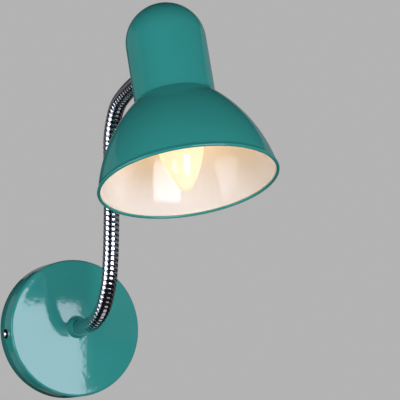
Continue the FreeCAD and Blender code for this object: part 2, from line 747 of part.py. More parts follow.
def make_head_wiring():
    """Holder screws, earth tag and the wires from the arm to the lampholder."""
    thick, tag = mm("bracket_thick"), mm("washer_thick")
    shape = screw_shape(3.4, 2.2, mm("screw_shank"), 6.5)
    screws("lampholder_screws", [(V(0, -10, thick + tag), Z_AXIS), (V(0, 10, thick), Z_AXIS)],
           shape, HOLDER)
    ring_tag("head_earth_tag", 3.4, 6.0,
             HOLDER.multiply(FreeCAD.Placement(V(0, -10, thick), FreeCAD.Rotation())))
    height, post, seat = mm("arm_height"), mm("post_x"), mm("holder_seat")
    for label, side in (("head_live_wire", -1), ("head_neutral_wire", 1)):
        insulated_wire(label, [
            V(side * 1.3, 32, height + 0.75), V(side * 1.3, 12, height + 0.75),
            V(side * post, 0, height + 0.75), V(side * post, 0, seat - 2.5)], HEAD)
    insulated_wire("head_earth_wire", [
        V(0, 32, height - 1.5), V(0, 14, height - 1.5), V(0, 4, seat + 3.2),
        V(0, -4.2, seat + 2.8)], HEAD)


# ---------------------------------------------------------------- candle lamp

def make_lamp():
    """Opal candle lamp: hollow glass, screw cap, black insulator and end contact."""
    tip, radius, waist = mm("lamp_tip"), mm("lamp_radius"), mm("lamp_waist")
    point, neck, glass = mm("tip_radius"), mm("lamp_neck"), mm("lamp_glass")
    wall = mm("glass_wall")
    upper = ((radius - neck) ** 2 + (glass - waist) ** 2) / (2 * (radius - neck))
    flank = ((waist - point) ** 2 + radius ** 2 - point ** 2) / (2 * (radius - point))
    across = (flank - radius) / (flank - point)
    along = (waist - point) / (flank - point)
    body = new_body("lamp_glass", HOLDER)
    foot = size("lamp_glass") - size("lamp_tip")
    belly = size("lamp_waist") - size("lamp_tip")
    outer = [(0, -size("lamp_tip")), (point * across, point - point * along - tip, point),
             (size("lamp_radius"), belly, flank), (size("lamp_neck"), foot, upper)]
    inner_point = point - wall
    inner = [(size("lamp_neck") - wall, foot),
             (size("lamp_radius") - wall, belly, -(upper - wall)),
             (inner_point * across, point - inner_point * along - tip, -(flank - wall)),
             (0, wall - tip, -inner_point)]
    revolve(body, outer + inner)
    cap, thin = size("cap_radius"), size("cap_wall")
    shell = new_body("lamp_cap", HOLDER)
    revolve(shell, [
        (cap - 1, foot), (cap, foot + 2.5), (cap, foot + 19), (11, foot + 21.5),
        (10, foot + 21.5), (cap - thin, foot + 18.7), (cap - thin, foot + 2.6),
        (cap - 1 - thin, foot)])
    insulator = new_body("lamp_insulator", HOLDER)
    revolve(insulator, [(0, foot + 21.5), (10.5, foot + 21.5), (6.5, foot + 25), (0, foot + 25)])
    contact = new_body("lamp_contact", HOLDER)
    revolve(contact, [(0, foot + 25), (4.8, foot + 25), (3.6, foot + 27), (0, foot + 27)])


# ---------------------------------------------------------------- build, check and write

make_canopy()
make_crossbar()
make_wall_screws()
make_terminal_block()
make_base_wiring()
make_arm()
make_shade()
make_head_fixings()
make_holder_bracket()
make_lampholder()
make_head_wiring()
make_lamp()
doc.recompute()

for item in doc.Objects:
    if "Invalid" in item.State or "Error" in item.State:
        raise RuntimeError("%s failed: %s" % (item.Label, item.State))
for subpart in subparts:
    shape = subpart.Shape
    if shape.isNull() or not shape.isValid() or shape.Volume <= 0:
        raise RuntimeError("%s is not a valid solid" % subpart.Label)
    shape.exportStep(os.path.join("parts", subpart.Label + ".step"))
print("%d sub-parts written" % len(subparts))
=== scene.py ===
# %% [markdown]
# # A gooseneck wall sconce
# The light hangs on a wall: an enamelled cup, a wound chrome gooseneck and a spun bell shade
# over an opal candle lamp.  The imported model gives the frame, and the turned pieces below
# ride on its bodies.  The wall is the plane Y = 0, the room is towards -Y and Z points up.

# %% Load the frame
import json
import math

import bpy
from mathutils import Matrix, Vector


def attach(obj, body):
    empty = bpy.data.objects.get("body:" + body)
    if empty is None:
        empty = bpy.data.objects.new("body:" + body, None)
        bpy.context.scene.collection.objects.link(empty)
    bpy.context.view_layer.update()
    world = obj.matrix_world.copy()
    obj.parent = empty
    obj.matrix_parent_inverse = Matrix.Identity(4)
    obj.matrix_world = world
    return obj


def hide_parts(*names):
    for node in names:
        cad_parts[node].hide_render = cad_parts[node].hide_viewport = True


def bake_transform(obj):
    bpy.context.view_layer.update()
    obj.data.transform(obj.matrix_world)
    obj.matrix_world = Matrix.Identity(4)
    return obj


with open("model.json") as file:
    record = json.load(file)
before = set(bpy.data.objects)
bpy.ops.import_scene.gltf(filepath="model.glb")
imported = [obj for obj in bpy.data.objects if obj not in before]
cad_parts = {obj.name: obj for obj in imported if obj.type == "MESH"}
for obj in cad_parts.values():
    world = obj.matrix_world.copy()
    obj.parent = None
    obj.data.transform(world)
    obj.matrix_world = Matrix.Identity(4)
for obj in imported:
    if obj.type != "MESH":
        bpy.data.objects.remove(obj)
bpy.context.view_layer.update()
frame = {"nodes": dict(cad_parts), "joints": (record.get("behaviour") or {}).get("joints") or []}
nodes = frame["nodes"]
MM = 0.001

# %% [markdown]
# ## The camera
# The photograph was taken from the front left, a little below the cup, through a long lens.
# Its place was solved from the outlines of the cup, the shade's mouth and the arm.  A yaw, a
# pitch and a roll are easier to read than a matrix, so the matrix is made from them here.

# %% Place the camera
CAMERA_PLACE = Vector((-711.99, -1817.45, -142.51)) * MM
CAMERA_YAW = math.radians(-24.64)
CAMERA_PITCH = math.radians(-7.87)
CAMERA_ROLL = math.radians(-0.63)
PICTURE_PX = 400
FOCAL_PX = 2400
SENSOR_MM = 36
FARTHEST_SEEN = 50
CENTRE_X_PX = 198.62
CENTRE_Y_PX = 173.97

back = Vector((math.sin(CAMERA_YAW) * math.cos(CAMERA_PITCH),
               -math.cos(CAMERA_YAW) * math.cos(CAMERA_PITCH),
               math.sin(CAMERA_PITCH)))
level_right = Vector((math.cos(CAMERA_YAW), math.sin(CAMERA_YAW), 0))
level_up = back.cross(level_right)
right = level_right * math.cos(CAMERA_ROLL) + level_up * math.sin(CAMERA_ROLL)
up = level_up * math.cos(CAMERA_ROLL) - level_right * math.sin(CAMERA_ROLL)

camera_data = bpy.data.cameras.new("photo_camera")
camera_data.sensor_width = SENSOR_MM
camera_data.lens = FOCAL_PX * camera_data.sensor_width / PICTURE_PX
camera_data.shift_x = (PICTURE_PX / 2 - CENTRE_X_PX) / PICTURE_PX
camera_data.shift_y = (CENTRE_Y_PX - PICTURE_PX / 2) / PICTURE_PX
camera_data.clip_end = FARTHEST_SEEN
camera = bpy.data.objects.new("photo_camera", camera_data)
turn = Matrix((right, up, back)).transposed()
camera.matrix_world = Matrix.Translation(CAMERA_PLACE) @ turn.to_4x4()
bpy.context.scene.collection.objects.link(camera)
bpy.context.scene.camera = camera
print("lens %.0f mm, shift %.4f %.4f"
      % (camera_data.lens, camera_data.shift_x, camera_data.shift_y))

# %% [markdown]
# ## The studio
# Two large soft boxes light the object, as the two white lines down the chrome and the patches
# on the enamel show.  The world does two more things.  What the camera and the reflections see
# of it is the pale grey background, and what dull surfaces get from it is the soft light that
# fills the shadows.  One grey could do both, but then the background and the shadows could not
# be set apart, so Light Path chooses between two.

# %% World: a background and a fill light
scene = bpy.context.scene
scene.view_settings.view_transform = "Standard"
BACKGROUND = (0.451, 0.451, 0.451, 1)
FILL_LIGHT = (0.60, 0.61, 0.62, 1)
FILL_STRENGTH = 0.88

world = bpy.data.worlds.new("studio")
scene.world = world
world.use_nodes = True
wn = world.node_tree.nodes
wl = world.node_tree.links
wn.clear()
rays = wn.new("ShaderNodeLightPath")
camera_or_glossy = wn.new("ShaderNodeMath")
camera_or_glossy.operation = "MAXIMUM"
seen = wn.new("ShaderNodeMath")
seen.operation = "MAXIMUM"
shown = wn.new("ShaderNodeBackground")
shown.inputs["Color"].default_value = BACKGROUND
fill = wn.new("ShaderNodeBackground")
fill.inputs["Color"].default_value = FILL_LIGHT
fill.inputs["Strength"].default_value = FILL_STRENGTH
choice = wn.new("ShaderNodeMixShader")
world_out = wn.new("ShaderNodeOutputWorld")
wl.new(rays.outputs["Is Camera Ray"], camera_or_glossy.inputs[0])
wl.new(rays.outputs["Is Glossy Ray"], camera_or_glossy.inputs[1])
wl.new(camera_or_glossy.outputs[0], seen.inputs[0])
wl.new(rays.outputs["Is Transmission Ray"], seen.inputs[1])
wl.new(seen.outputs[0], choice.inputs["Fac"])
wl.new(fill.outputs[0], choice.inputs[1])
wl.new(shown.outputs[0], choice.inputs[2])
wl.new(choice.outputs[0], world_out.inputs["Surface"])
print("world tree has", len(wn), "nodes")

# %% Two soft boxes
AIM = Vector((0, -150, 100)) * MM
COOL_LIGHT = (0.82, 0.86, 1.0)


def around(azimuth, elevation, distance):
    """Place seen from the object: azimuth 0 is straight out of the wall, plus is to the right."""
    azimuth, elevation = math.radians(azimuth), math.radians(elevation)
    way = Vector((math.sin(azimuth) * math.cos(elevation),
                  -math.cos(azimuth) * math.cos(elevation), math.sin(elevation)))
    return AIM + way * distance


def soft_box(name, shape, azimuth, elevation, distance, width, height, watts):
    """Rectangular or oval lamp that faces the object."""
    data = bpy.data.lights.new(name, "AREA")
    data.shape = shape
    data.size = width
    data.size_y = height
    data.energy = watts
    data.color = COOL_LIGHT
    lamp = bpy.data.objects.new(name, data)
    place = around(azimuth, elevation, distance)
    lamp.matrix_world = (Matrix.Translation(place)
                         @ (place - AIM).to_track_quat("Z", "Y").to_matrix().to_4x4())
    scene.collection.objects.link(lamp)
    return lamp


left_box = soft_box("left_soft_box", "ELLIPSE", -88, -15, 1.5, 1.4, 1.7, 19)
right_box = soft_box("right_soft_box", "RECTANGLE", 6, -18.5, 2.2, 1.5, 2.1, 83)
print("soft boxes at", left_box.location, right_box.location)

# %% [markdown]
# Chrome and gloss enamel show the whole room, so the room matters as much as the lamps.  A
# black cloth stands round it, because chrome is black where the room is black.  Two weaker grey
# cloths in front of it give the enamel its pale edges, and two pale boards on a black table
# give the chrome its lower glints.  Only reflections see all these: they throw no shadow and no
# light, and the camera looks through them.  A nearly black ceiling keeps the dome clear.

# %% Cloths and boards of the studio
COOL_TINT = 1.08
DEGREES_A_STEP = 5


def stand(name, corners, faces, finish):
    """Plain sheet that belongs to the studio and not to the object."""
    mesh = bpy.data.meshes.new(name)
    mesh.from_pydata(corners, [], faces)
    mesh.materials.append(finish)
    made = bpy.data.objects.new(name, mesh)
    scene.collection.objects.link(made)
    return made


def plain(name, grey):
    """Dull even cloth or paint of the studio."""
    made = bpy.data.materials.new(name)
    made.use_nodes = True
    shader = made.node_tree.nodes["Principled BSDF"]
    shader.inputs["Base Color"].default_value = (grey, grey, grey, 1)
    shader.inputs["Roughness"].default_value = 1
    shader.inputs["Specular IOR Level"].default_value = 0
    return made


def glowing(name, grey):
    """Studio cloth or board that shows one even grey in reflections, however it is lit."""
    made = plain(name, 0.0)
    shader = made.node_tree.nodes["Principled BSDF"]
    shader.inputs["Emission Color"].default_value = (grey, grey, grey * COOL_TINT, 1)
    shader.inputs["Emission Strength"].default_value = 1
    return made


def curved_screen(name, first, last, radius, foot, top, finish):
    """Upright screen round the object, between two azimuths and two heights."""
    steps = round((last - first) / DEGREES_A_STEP)
    feet = [around(first + (last - first) * step / steps, 0, radius) for step in range(steps + 1)]
    corners = [(p.x, p.y, foot) for p in feet] + [(p.x, p.y, top) for p in feet]
    faces = [(i, i + 1, i + steps + 2, i + steps + 1) for i in range(steps)]
    return stand(name, corners, faces, finish)


def level_sheet(name, x, y, reach, height, finish):
    """Square sheet that lies level, with its middle and half its side in metres."""
    corners = [(x + i * reach, y + j * reach, height)
               for i, j in ((-1, -1), (1, -1), (1, 1), (-1, 1))]
    return stand(name, corners, [(0, 1, 2, 3)], finish)


# %% Stand them round the room
ROOM_RADIUS = 3.2
ROOM_FOOT, ROOM_TOP = -2.4, 2.8
GREY_RADIUS = ROOM_RADIUS - 0.1
GREY_FOOT, GREY_TOP = 0.15, 1.6
FLOOR = -0.60
FLOOR_REACH = 6
TABLE_REACH = 1.5
TABLE_TOP = FLOOR + 0.02
BOARD_TOP = FLOOR + 0.03
BLACK_CLOTH = glowing("black_cloth", 0.012)
GREY_CLOTH = glowing("grey_cloth", 0.24)
DIM_CLOTH = glowing("dim_cloth", 0.17)
PALE_CARD = glowing("pale_card", 0.7)
screens = [
    curved_screen("dark_screen", -180, 180, ROOM_RADIUS, ROOM_FOOT, ROOM_TOP, BLACK_CLOTH),
    curved_screen("right_grey_screen", 28, 168, GREY_RADIUS, GREY_FOOT, GREY_TOP, GREY_CLOTH),
    curved_screen("left_grey_screen", -172, -112, GREY_RADIUS, GREY_FOOT, GREY_TOP, DIM_CLOTH),
    level_sheet("dark_table", 0, 0, TABLE_REACH, TABLE_TOP, BLACK_CLOTH),
    level_sheet("right_board", 0.14, -0.08, 0.19, BOARD_TOP, PALE_CARD),
    level_sheet("left_board", -0.92, 0.26, 0.3, BOARD_TOP, PALE_CARD)]
ceiling = level_sheet("dark_ceiling", 0, 0, ROOM_RADIUS * 1.1, ROOM_TOP,
                      plain("black_ceiling", 0.02))
for sheet in screens:
    sheet.visible_diffuse = False
for sheet in screens + [ceiling]:
    sheet.visible_camera = False
    sheet.visible_transmission = False
    sheet.visible_shadow = False
floor = level_sheet("floor", 0, 0, FLOOR_REACH, FLOOR, plain("pale_floor", 0.46))
print("studio has", len(screens), "screens and boards")

# %% [markdown]
# ## Helpers for materials
# Each material is a Principled BSDF with its numbers on its own sockets.  What changes over a
# surface, such as a colour that is not quite even, could be drawn anew in every material, but
# it is the same few nodes each time.  So it comes from two shader groups, one for paint and one
# for metal, which are built once and placed with other values.

# %% A material, a colour, a group, and a group in a material
SURFACE = (("Colour", "Color"), ("Roughness", "Float"), ("Normal", "Vector"))


def material(name, **values):
    """New Principled material.  Values are socket names with spaces as underscores."""
    made = bpy.data.materials.new(name)
    made.use_nodes = True
    shader = made.node_tree.nodes["Principled BSDF"]
    for key, value in values.items():
        shader.inputs[key.replace("_", " ")].default_value = value
    return made


def colour(r, g, b):
    """Colour as it looks on the screen, 0 to 255, turned into the linear one that nodes use."""
    linear = []
    for value in (r, g, b):
        value = value / 255
        linear.append(value / 12.92 if value <= 0.04045 else ((value + 0.055) / 1.055) ** 2.4)
    return (*linear, 1)


def shader_group(name, *inputs):
    """New shader group that puts out a surface.  Each input is a pair of a name and a kind."""
    tree = bpy.data.node_groups.new(name, "ShaderNodeTree")
    for way, sockets in (("INPUT", inputs), ("OUTPUT", SURFACE)):
        for label, kind in sockets:
            tree.interface.new_socket(name=label, in_out=way, socket_type="NodeSocket" + kind)
    return tree


def finish_with(made, group, **values):
    """Places a group in a material with its values, and joins what it puts out."""
    tree = made.node_tree
    placed = tree.nodes.new("ShaderNodeGroup")
    placed.node_tree = group
    for key, value in values.items():
        placed.inputs[key.replace("_", " ")].default_value = value
    shader = tree.nodes["Principled BSDF"]
    tree.links.new(placed.outputs["Colour"], shader.inputs["Base Color"])
    tree.links.new(placed.outputs["Roughness"], shader.inputs["Roughness"])
    tree.links.new(placed.outputs["Normal"], shader.inputs["Normal"])
    return made


# %% [markdown]
# ## Enamel
# The cup and the shade are sprayed and baked.  Such a film is never quite flat: it keeps a fine
# ripple, known as orange peel, which bends the edges of the reflections, and its colour and
# gloss drift a little.  A picture of a painted sheet could be laid on, but it would need a map
# and would show its grain close up.  Noise in Object coordinates needs neither.

# %% Group: paint that is not quite even
CLOUD_SIZE, CLOUD_DETAIL = 28, 3
HAZE_DRIFT = 0.02
RIPPLE_HEIGHT = 0.2 * MM
paint = shader_group("paint_film", ("Colour", "Color"), ("Deeper Colour", "Color"),
                     ("Ripple Size", "Float"), ("Ripple Depth", "Float"), ("Haze", "Float"))
pn = paint.nodes
pl = paint.links
paint_in = pn.new("NodeGroupInput")
paint_out = pn.new("NodeGroupOutput")
where = pn.new("ShaderNodeTexCoord")
cloud = pn.new("ShaderNodeTexNoise")
cloud.inputs["Scale"].default_value = CLOUD_SIZE
cloud.inputs["Detail"].default_value = CLOUD_DETAIL
pl.new(where.outputs["Object"], cloud.inputs["Vector"])
blend_colour = pn.new("ShaderNodeMix")
blend_colour.data_type = "RGBA"
pl.new(cloud.outputs["Fac"], blend_colour.inputs["Factor"])
pl.new(paint_in.outputs["Colour"], blend_colour.inputs["A"])
pl.new(paint_in.outputs["Deeper Colour"], blend_colour.inputs["B"])
pl.new(blend_colour.outputs["Result"], paint_out.inputs["Colour"])
uneven = pn.new("ShaderNodeMapRange")
uneven.inputs["To Min"].default_value = -HAZE_DRIFT
uneven.inputs["To Max"].default_value = HAZE_DRIFT
haze = pn.new("ShaderNodeMath")
haze.operation = "ADD"
pl.new(cloud.outputs["Fac"], uneven.inputs["Value"])
pl.new(uneven.outputs["Result"], haze.inputs[0])
pl.new(paint_in.outputs["Haze"], haze.inputs[1])
pl.new(haze.outputs["Value"], paint_out.inputs["Roughness"])
ripple = pn.new("ShaderNodeTexNoise")
ripple.inputs["Detail"].default_value = 1
pl.new(where.outputs["Object"], ripple.inputs["Vector"])
pl.new(paint_in.outputs["Ripple Size"], ripple.inputs["Scale"])
bump = pn.new("ShaderNodeBump")
bump.inputs["Distance"].default_value = RIPPLE_HEIGHT
pl.new(ripple.outputs["Fac"], bump.inputs["Height"])
pl.new(paint_in.outputs["Ripple Depth"], bump.inputs["Strength"])
pl.new(bump.outputs["Normal"], paint_out.inputs["Normal"])


def painted(name, top, deep, ripple_size, ripple_depth, haze=0.07, **values):
    """Sprayed and baked enamel: colour a little uneven, with orange peel."""
    return finish_with(material(name, **values), paint, Colour=top, Deeper_Colour=deep,
                       Ripple_Size=ripple_size, Ripple_Depth=ripple_depth, Haze=haze)


# %% Enamel, outside and inside
TEAL = painted("teal_enamel", colour(51, 142, 132), colour(47, 136, 127), 260, 0.16, IOR=1.5)
CREAM = painted("cream_enamel", colour(224, 217, 210), colour(220, 212, 204), 220, 0.12,
                haze=0.11, IOR=1.5)
print("enamels:", TEAL.name, CREAM.name)

# %% [markdown]
# ## Metal
# The gooseneck is chromed, the crossbar and the screws are zinc plated, the tubes and contacts
# are brass or nickel.  Plating keeps the fine grain of the drawn wire or rolled strip below it,
# and zinc and brass stain in patches.  One group makes both, and the gap between its least and
# its most roughness says how much of the grain shows.

# %% Group: drawn and plated metal
GRAIN_SIZE, GRAIN_DETAIL = 420, 4
STAIN_SIZE = 65
SCRATCH_STRENGTH = 0.08
SCRATCH_HEIGHT = 0.1 * MM
metal = shader_group("drawn_metal", ("Colour", "Color"), ("Stain", "Color"),
                     ("Least Roughness", "Float"), ("Most Roughness", "Float"))
mn = metal.nodes
ml = metal.links
metal_in = mn.new("NodeGroupInput")
metal_out = mn.new("NodeGroupOutput")
spot = mn.new("ShaderNodeTexCoord")
grain = mn.new("ShaderNodeTexNoise")
grain.inputs["Scale"].default_value = GRAIN_SIZE
grain.inputs["Detail"].default_value = GRAIN_DETAIL
ml.new(spot.outputs["Object"], grain.inputs["Vector"])
stain = mn.new("ShaderNodeTexNoise")
stain.inputs["Scale"].default_value = STAIN_SIZE
ml.new(spot.outputs["Object"], stain.inputs["Vector"])
mixed = mn.new("ShaderNodeMix")
mixed.data_type = "RGBA"
ml.new(stain.outputs["Fac"], mixed.inputs["Factor"])
ml.new(metal_in.outputs["Colour"], mixed.inputs["A"])
ml.new(metal_in.outputs["Stain"], mixed.inputs["B"])
ml.new(mixed.outputs["Result"], metal_out.inputs["Colour"])
rough = mn.new("ShaderNodeMapRange")
ml.new(grain.outputs["Fac"], rough.inputs["Value"])
ml.new(metal_in.outputs["Least Roughness"], rough.inputs["To Min"])
ml.new(metal_in.outputs["Most Roughness"], rough.inputs["To Max"])
ml.new(rough.outputs["Result"], metal_out.inputs["Roughness"])
scratch = mn.new("ShaderNodeBump")
scratch.inputs["Strength"].default_value = SCRATCH_STRENGTH
scratch.inputs["Distance"].default_value = SCRATCH_HEIGHT
ml.new(grain.outputs["Fac"], scratch.inputs["Height"])
ml.new(scratch.outputs["Normal"], metal_out.inputs["Normal"])


def metallic(name, tone, stained, least, most):
    """Bare or plated metal with a fine grain and faint stains."""
    return finish_with(material(name, Metallic=1.0), metal, Colour=tone, Stain=stained,
                       Least_Roughness=least, Most_Roughness=most)


# %% Chrome, zinc, brass, nickel
CHROME = metallic("chrome_plate", colour(205, 207, 212), colour(190, 190, 196), 0.06, 0.12)
ZINC = metallic("zinc_plate", colour(196, 199, 200), colour(176, 178, 170), 0.28, 0.42)
BRASS = metallic("brass", colour(214, 178, 104), colour(190, 150, 82), 0.18, 0.32)
NICKEL = metallic("nickel_plate", colour(208, 204, 194), colour(190, 184, 170), 0.16, 0.28)
print("metals:", CHROME.name, ZINC.name, BRASS.name, NICKEL.name)

# %% [markdown]
# ## Porcelain, plastics and the lit glass
# The lampholder is glazed porcelain, the terminal block is nylon, and the wires have smooth
# coloured sleeves.  All of them are thin even films over a body, so the paint group fits them
# with a smaller ripple.

# %% Porcelain, nylon, insulation
PORCELAIN = painted("glazed_porcelain", colour(238, 236, 228), colour(230, 227, 216), 500, 0.05,
                    Coat_Weight=0.5, Coat_Roughness=0.05, IOR=1.5)
NYLON = painted("block_nylon", colour(232, 232, 222), colour(222, 222, 208), 700, 0.2, IOR=1.53)
BROWN = painted("brown_insulation", colour(98, 58, 34), colour(84, 48, 28), 900, 0.1, IOR=1.5)
BLUE = painted("blue_insulation", colour(42, 92, 170), colour(34, 78, 150), 900, 0.1, IOR=1.5)
VITRITE = painted("black_vitrite", colour(24, 24, 26), colour(14, 14, 15), 600, 0.1, IOR=1.55)
print("small finishes:", PORCELAIN.name, NYLON.name, BROWN.name, BLUE.name, VITRITE.name)

# %% [markdown]
# The opal glass is lit from inside.  Real opal glass scatters the light of its coil, which
# would take many samples, so here the skin itself glows.  The eye sees an even cream, while the
# shade gets a light that is weak and white from the tip and strong and warm from the neck, as
# the depth of the shade shows in the photograph.  Light Path tells the two apart.

# %% Lit opal glass
OPAL = painted("lit_opal_glass", colour(150, 145, 135), colour(148, 142, 130), 300, 0.02,
               Coat_Weight=0.4, Coat_Roughness=0.03, IOR=1.5, Emission_Strength=1.0)
on = OPAL.node_tree.nodes
ol = OPAL.node_tree.links
GLOW_TIP, GLOW_NECK = 0.105, 0.165
LIGHT_OF_TIP = (0.6, 0.6, 0.5, 1)
LIGHT_OF_NECK = (10.0, 6.6, 2.2, 1)
SEEN_GLOW = colour(250, 224, 176)
place_in_glass = on.new("ShaderNodeTexCoord")
heights = on.new("ShaderNodeSeparateXYZ")
up_the_glass = on.new("ShaderNodeMapRange")
up_the_glass.inputs["From Min"].default_value = GLOW_TIP
up_the_glass.inputs["From Max"].default_value = GLOW_NECK
cast = on.new("ShaderNodeMix")
cast.data_type = "RGBA"
cast.inputs["A"].default_value = LIGHT_OF_TIP
cast.inputs["B"].default_value = LIGHT_OF_NECK
eye = on.new("ShaderNodeLightPath")
glow = on.new("ShaderNodeMix")
glow.data_type = "RGBA"
glow.inputs["B"].default_value = SEEN_GLOW
ol.new(place_in_glass.outputs["Object"], heights.inputs[0])
ol.new(heights.outputs["Z"], up_the_glass.inputs["Value"])
ol.new(up_the_glass.outputs["Result"], cast.inputs["Factor"])
ol.new(cast.outputs["Result"], glow.inputs["A"])
ol.new(eye.outputs["Is Camera Ray"], glow.inputs["Factor"])
ol.new(glow.outputs["Result"], on["Principled BSDF"].inputs["Emission Color"])
print("opal glass has", len(on), "nodes")

# %% [markdown]
# Earth wire is green with a yellow stripe that runs along it.  A wave in Object coordinates
# gives the stripe, so it needs no map of the wire.

# %% Green and yellow insulation
STRIPE_SIZE = 90
STRIPE_SHARE = 0.55
EARTH = material("earth_insulation", Roughness=0.45)
en = EARTH.node_tree.nodes
el = EARTH.node_tree.links
along = en.new("ShaderNodeTexCoord")
stripe = en.new("ShaderNodeTexWave")
stripe.wave_type = "BANDS"
stripe.bands_direction = "X"
stripe.inputs["Scale"].default_value = STRIPE_SIZE
two_tone = en.new("ShaderNodeMix")
two_tone.data_type = "RGBA"
two_tone.inputs["A"].default_value = colour(46, 132, 52)
two_tone.inputs["B"].default_value = colour(236, 214, 60)
sharp = en.new("ShaderNodeMath")
sharp.operation = "GREATER_THAN"
sharp.inputs[1].default_value = STRIPE_SHARE
el.new(along.outputs["Object"], stripe.inputs["Vector"])
el.new(stripe.outputs["Fac"], sharp.inputs[0])
el.new(sharp.outputs[0], two_tone.inputs["Factor"])
el.new(two_tone.outputs["Result"], en["Principled BSDF"].inputs["Base Color"])

# %% [markdown]
# ## Finishes on the pieces from the frame
# Behind the cup and inside the shade are the crossbar, the terminals, the lampholder and the
# wires.  They could be made again with threads and slots, but they are seen from behind or not
# at all, so they keep their own solids and only get their finish here.

# %% Dress the small pieces
FINISH = {
    "canopy_screws": CHROME, "wall_bracket": ZINC, "earth_screw": ZINC, "block_screw": ZINC,
    "terminal_screws": ZINC, "earth_tag": NICKEL, "head_earth_tag": NICKEL,
    "terminal_block": NYLON, "terminal_inserts": BRASS, "base_nipple": BRASS,
    "head_nipple": BRASS, "base_nut": ZINC, "head_nut": ZINC, "base_washer": ZINC,
    "head_washer": ZINC, "base_live_wire": BROWN, "head_live_wire": BROWN,
    "base_neutral_wire": BLUE, "head_neutral_wire": BLUE, "base_earth_wire": EARTH,
    "head_earth_wire": EARTH, "lampholder_bracket": ZINC, "lampholder_screws": ZINC,
    "lampholder_body": PORCELAIN, "holder_sleeve": BRASS, "holder_terminals": BRASS,
    "centre_contact": BRASS, "lamp_cap": NICKEL, "lamp_insulator": VITRITE,
    "lamp_contact": NICKEL,
}
for name, finish in FINISH.items():
    nodes[name].data.materials.clear()
    nodes[name].data.materials.append(finish)
print("dressed", len(FINISH), "pieces")

# %% [markdown]
# ## The line of the gooseneck
# The arm leaves the cup square to the wall, climbs, and comes over to the shade.  A curve drawn
# by hand would do for a picture, but this line has to meet the hinges of the frame.  Each link
# is straight where it takes the plug of the link before and bends evenly after that, so the
# whole line follows from the number of ribs and the turn of each link, in degrees.

# %% Walk along the arm
RIB_PITCH = 3.9 * MM
SEAT_DEPTH = 5.2 * MM
BOSS_FRONT = 31 * MM
LINK_RIBS = [4, 6, 6, 6, 6, 6, 6, 6, 6, 6, 6, 6, 4]
LINK_TURNS = [0, 23.5, 31.5, 23.5, 6.5, 2, 2.5, -0.5, -29.5, -40, -8, 5, 0]
link_starts = [0.0]
for ribs in LINK_RIBS:
    link_starts.append(link_starts[-1] + ribs * RIB_PITCH)
ARM_LENGTH = link_starts[-1]


def turn_rate(along):
    """How fast the line turns, in radians per metre, at a distance from the boss."""
    for link, start in enumerate(link_starts[:-1]):
        if along < link_starts[link + 1]:
            bend = LINK_RIBS[link] * RIB_PITCH - SEAT_DEPTH
            inside = along - start > SEAT_DEPTH
            return math.radians(LINK_TURNS[link]) / bend if inside else 0.0
    return 0.0


STEP = 0.1 * MM
line = [Vector((0, -BOSS_FRONT, 0))]
headings = [0.0]
while len(line) <= ARM_LENGTH / STEP:
    middle = headings[-1] + turn_rate((len(line) - 0.5) * STEP) * STEP / 2
    line.append(line[-1] + Vector((0, -math.cos(middle), math.sin(middle))) * STEP)
    headings.append(2 * middle - headings[-1])

LEAN = headings[-1]
ARM_ROLL = Matrix.Rotation(math.radians(-0.55), 4, "Y")
HEAD_TWIST = Matrix.Rotation(math.radians(-0.8), 4, "Y")
OVERRUN = 10
for step in range(OVERRUN):
    line.append(line[-1] + Vector((0, -math.cos(LEAN), math.sin(LEAN))) * STEP)
line = [ARM_ROLL @ point for point in line]
ARM_END = line[-1 - OVERRUN]


def on_line(along):
    """Point of the arm's line at a distance from the boss."""
    return line[min(len(line) - 1, max(0, round(along / STEP)))]


print("arm %.1f mm long, ends at %s, leaning %.2f degrees"
      % (ARM_LENGTH / MM, ARM_END / MM, math.degrees(LEAN)))
for joint in frame["joints"]:
    hinge = Vector(joint["pos_m"])
    print(joint["name"], "is %.3f mm off the line" % (min((hinge - p).length for p in line) / MM))

# %% [markdown]
# ## The ribbed gooseneck
# A gooseneck is a coil of round steel wire with a second wire pressed into its groove, so that
# its skin is one long screw thread of low round ribs.  A helix of wire could be swept along the
# arm, but the photograph shows ribs so low that the groove wire nearly fills them.  So Geometry
# Nodes wrap a sheet round the arm's line and lift it by a rib outline that runs round as a
# thread.  The skin is cut into one stretch for each hinge, from the middle of a link to the
# middle of the next.

# %% Tree: named inputs
wrap = bpy.data.node_groups.new("threaded_skin", "GeometryNodeTree")
wrap.interface.new_socket(name="Line", in_out="INPUT", socket_type="NodeSocketGeometry")
SKIN_INPUTS = {}
for label, kind in (("Start", "Float"), ("Length", "Float"), ("Rib Pitch", "Float"),
                    ("Groove Radius", "Float"), ("Rib Height", "Float"), ("Columns", "Int"),
                    ("Sides", "Int"), ("Finish", "Material")):
    SKIN_INPUTS[label] = wrap.interface.new_socket(
        name=label, in_out="INPUT", socket_type="NodeSocket" + kind).identifier
wrap.interface.new_socket(name="Skin", in_out="OUTPUT", socket_type="NodeSocketGeometry")
gn = wrap.nodes
gl = wrap.links
wrap_in = gn.new("NodeGroupInput")
wrap_out = gn.new("NodeGroupOutput")
print("the skin's sizes:", ", ".join(SKIN_INPUTS))

# %% Tree: two helpers for sums


def sum_node(kind, *values):
    """Math node.  A value is a number or the socket that feeds it."""
    node = gn.new("ShaderNodeMath")
    node.operation = kind
    for slot, value in zip(node.inputs, values):
        if isinstance(value, (int, float)):
            slot.default_value = value
        else:
            gl.new(value, slot)
    return node.outputs[0]


def way_node(kind, first, second=None, scale=None):
    """Vector math node, used the same way."""
    node = gn.new("ShaderNodeVectorMath")
    node.operation = kind
    for slot, value in zip(node.inputs, (first, second)):
        if isinstance(value, tuple):
            slot.default_value = value
        elif value is not None:
            gl.new(value, slot)
    if scale is not None:
        gl.new(scale, node.inputs["Scale"])
    return node.outputs["Vector"]


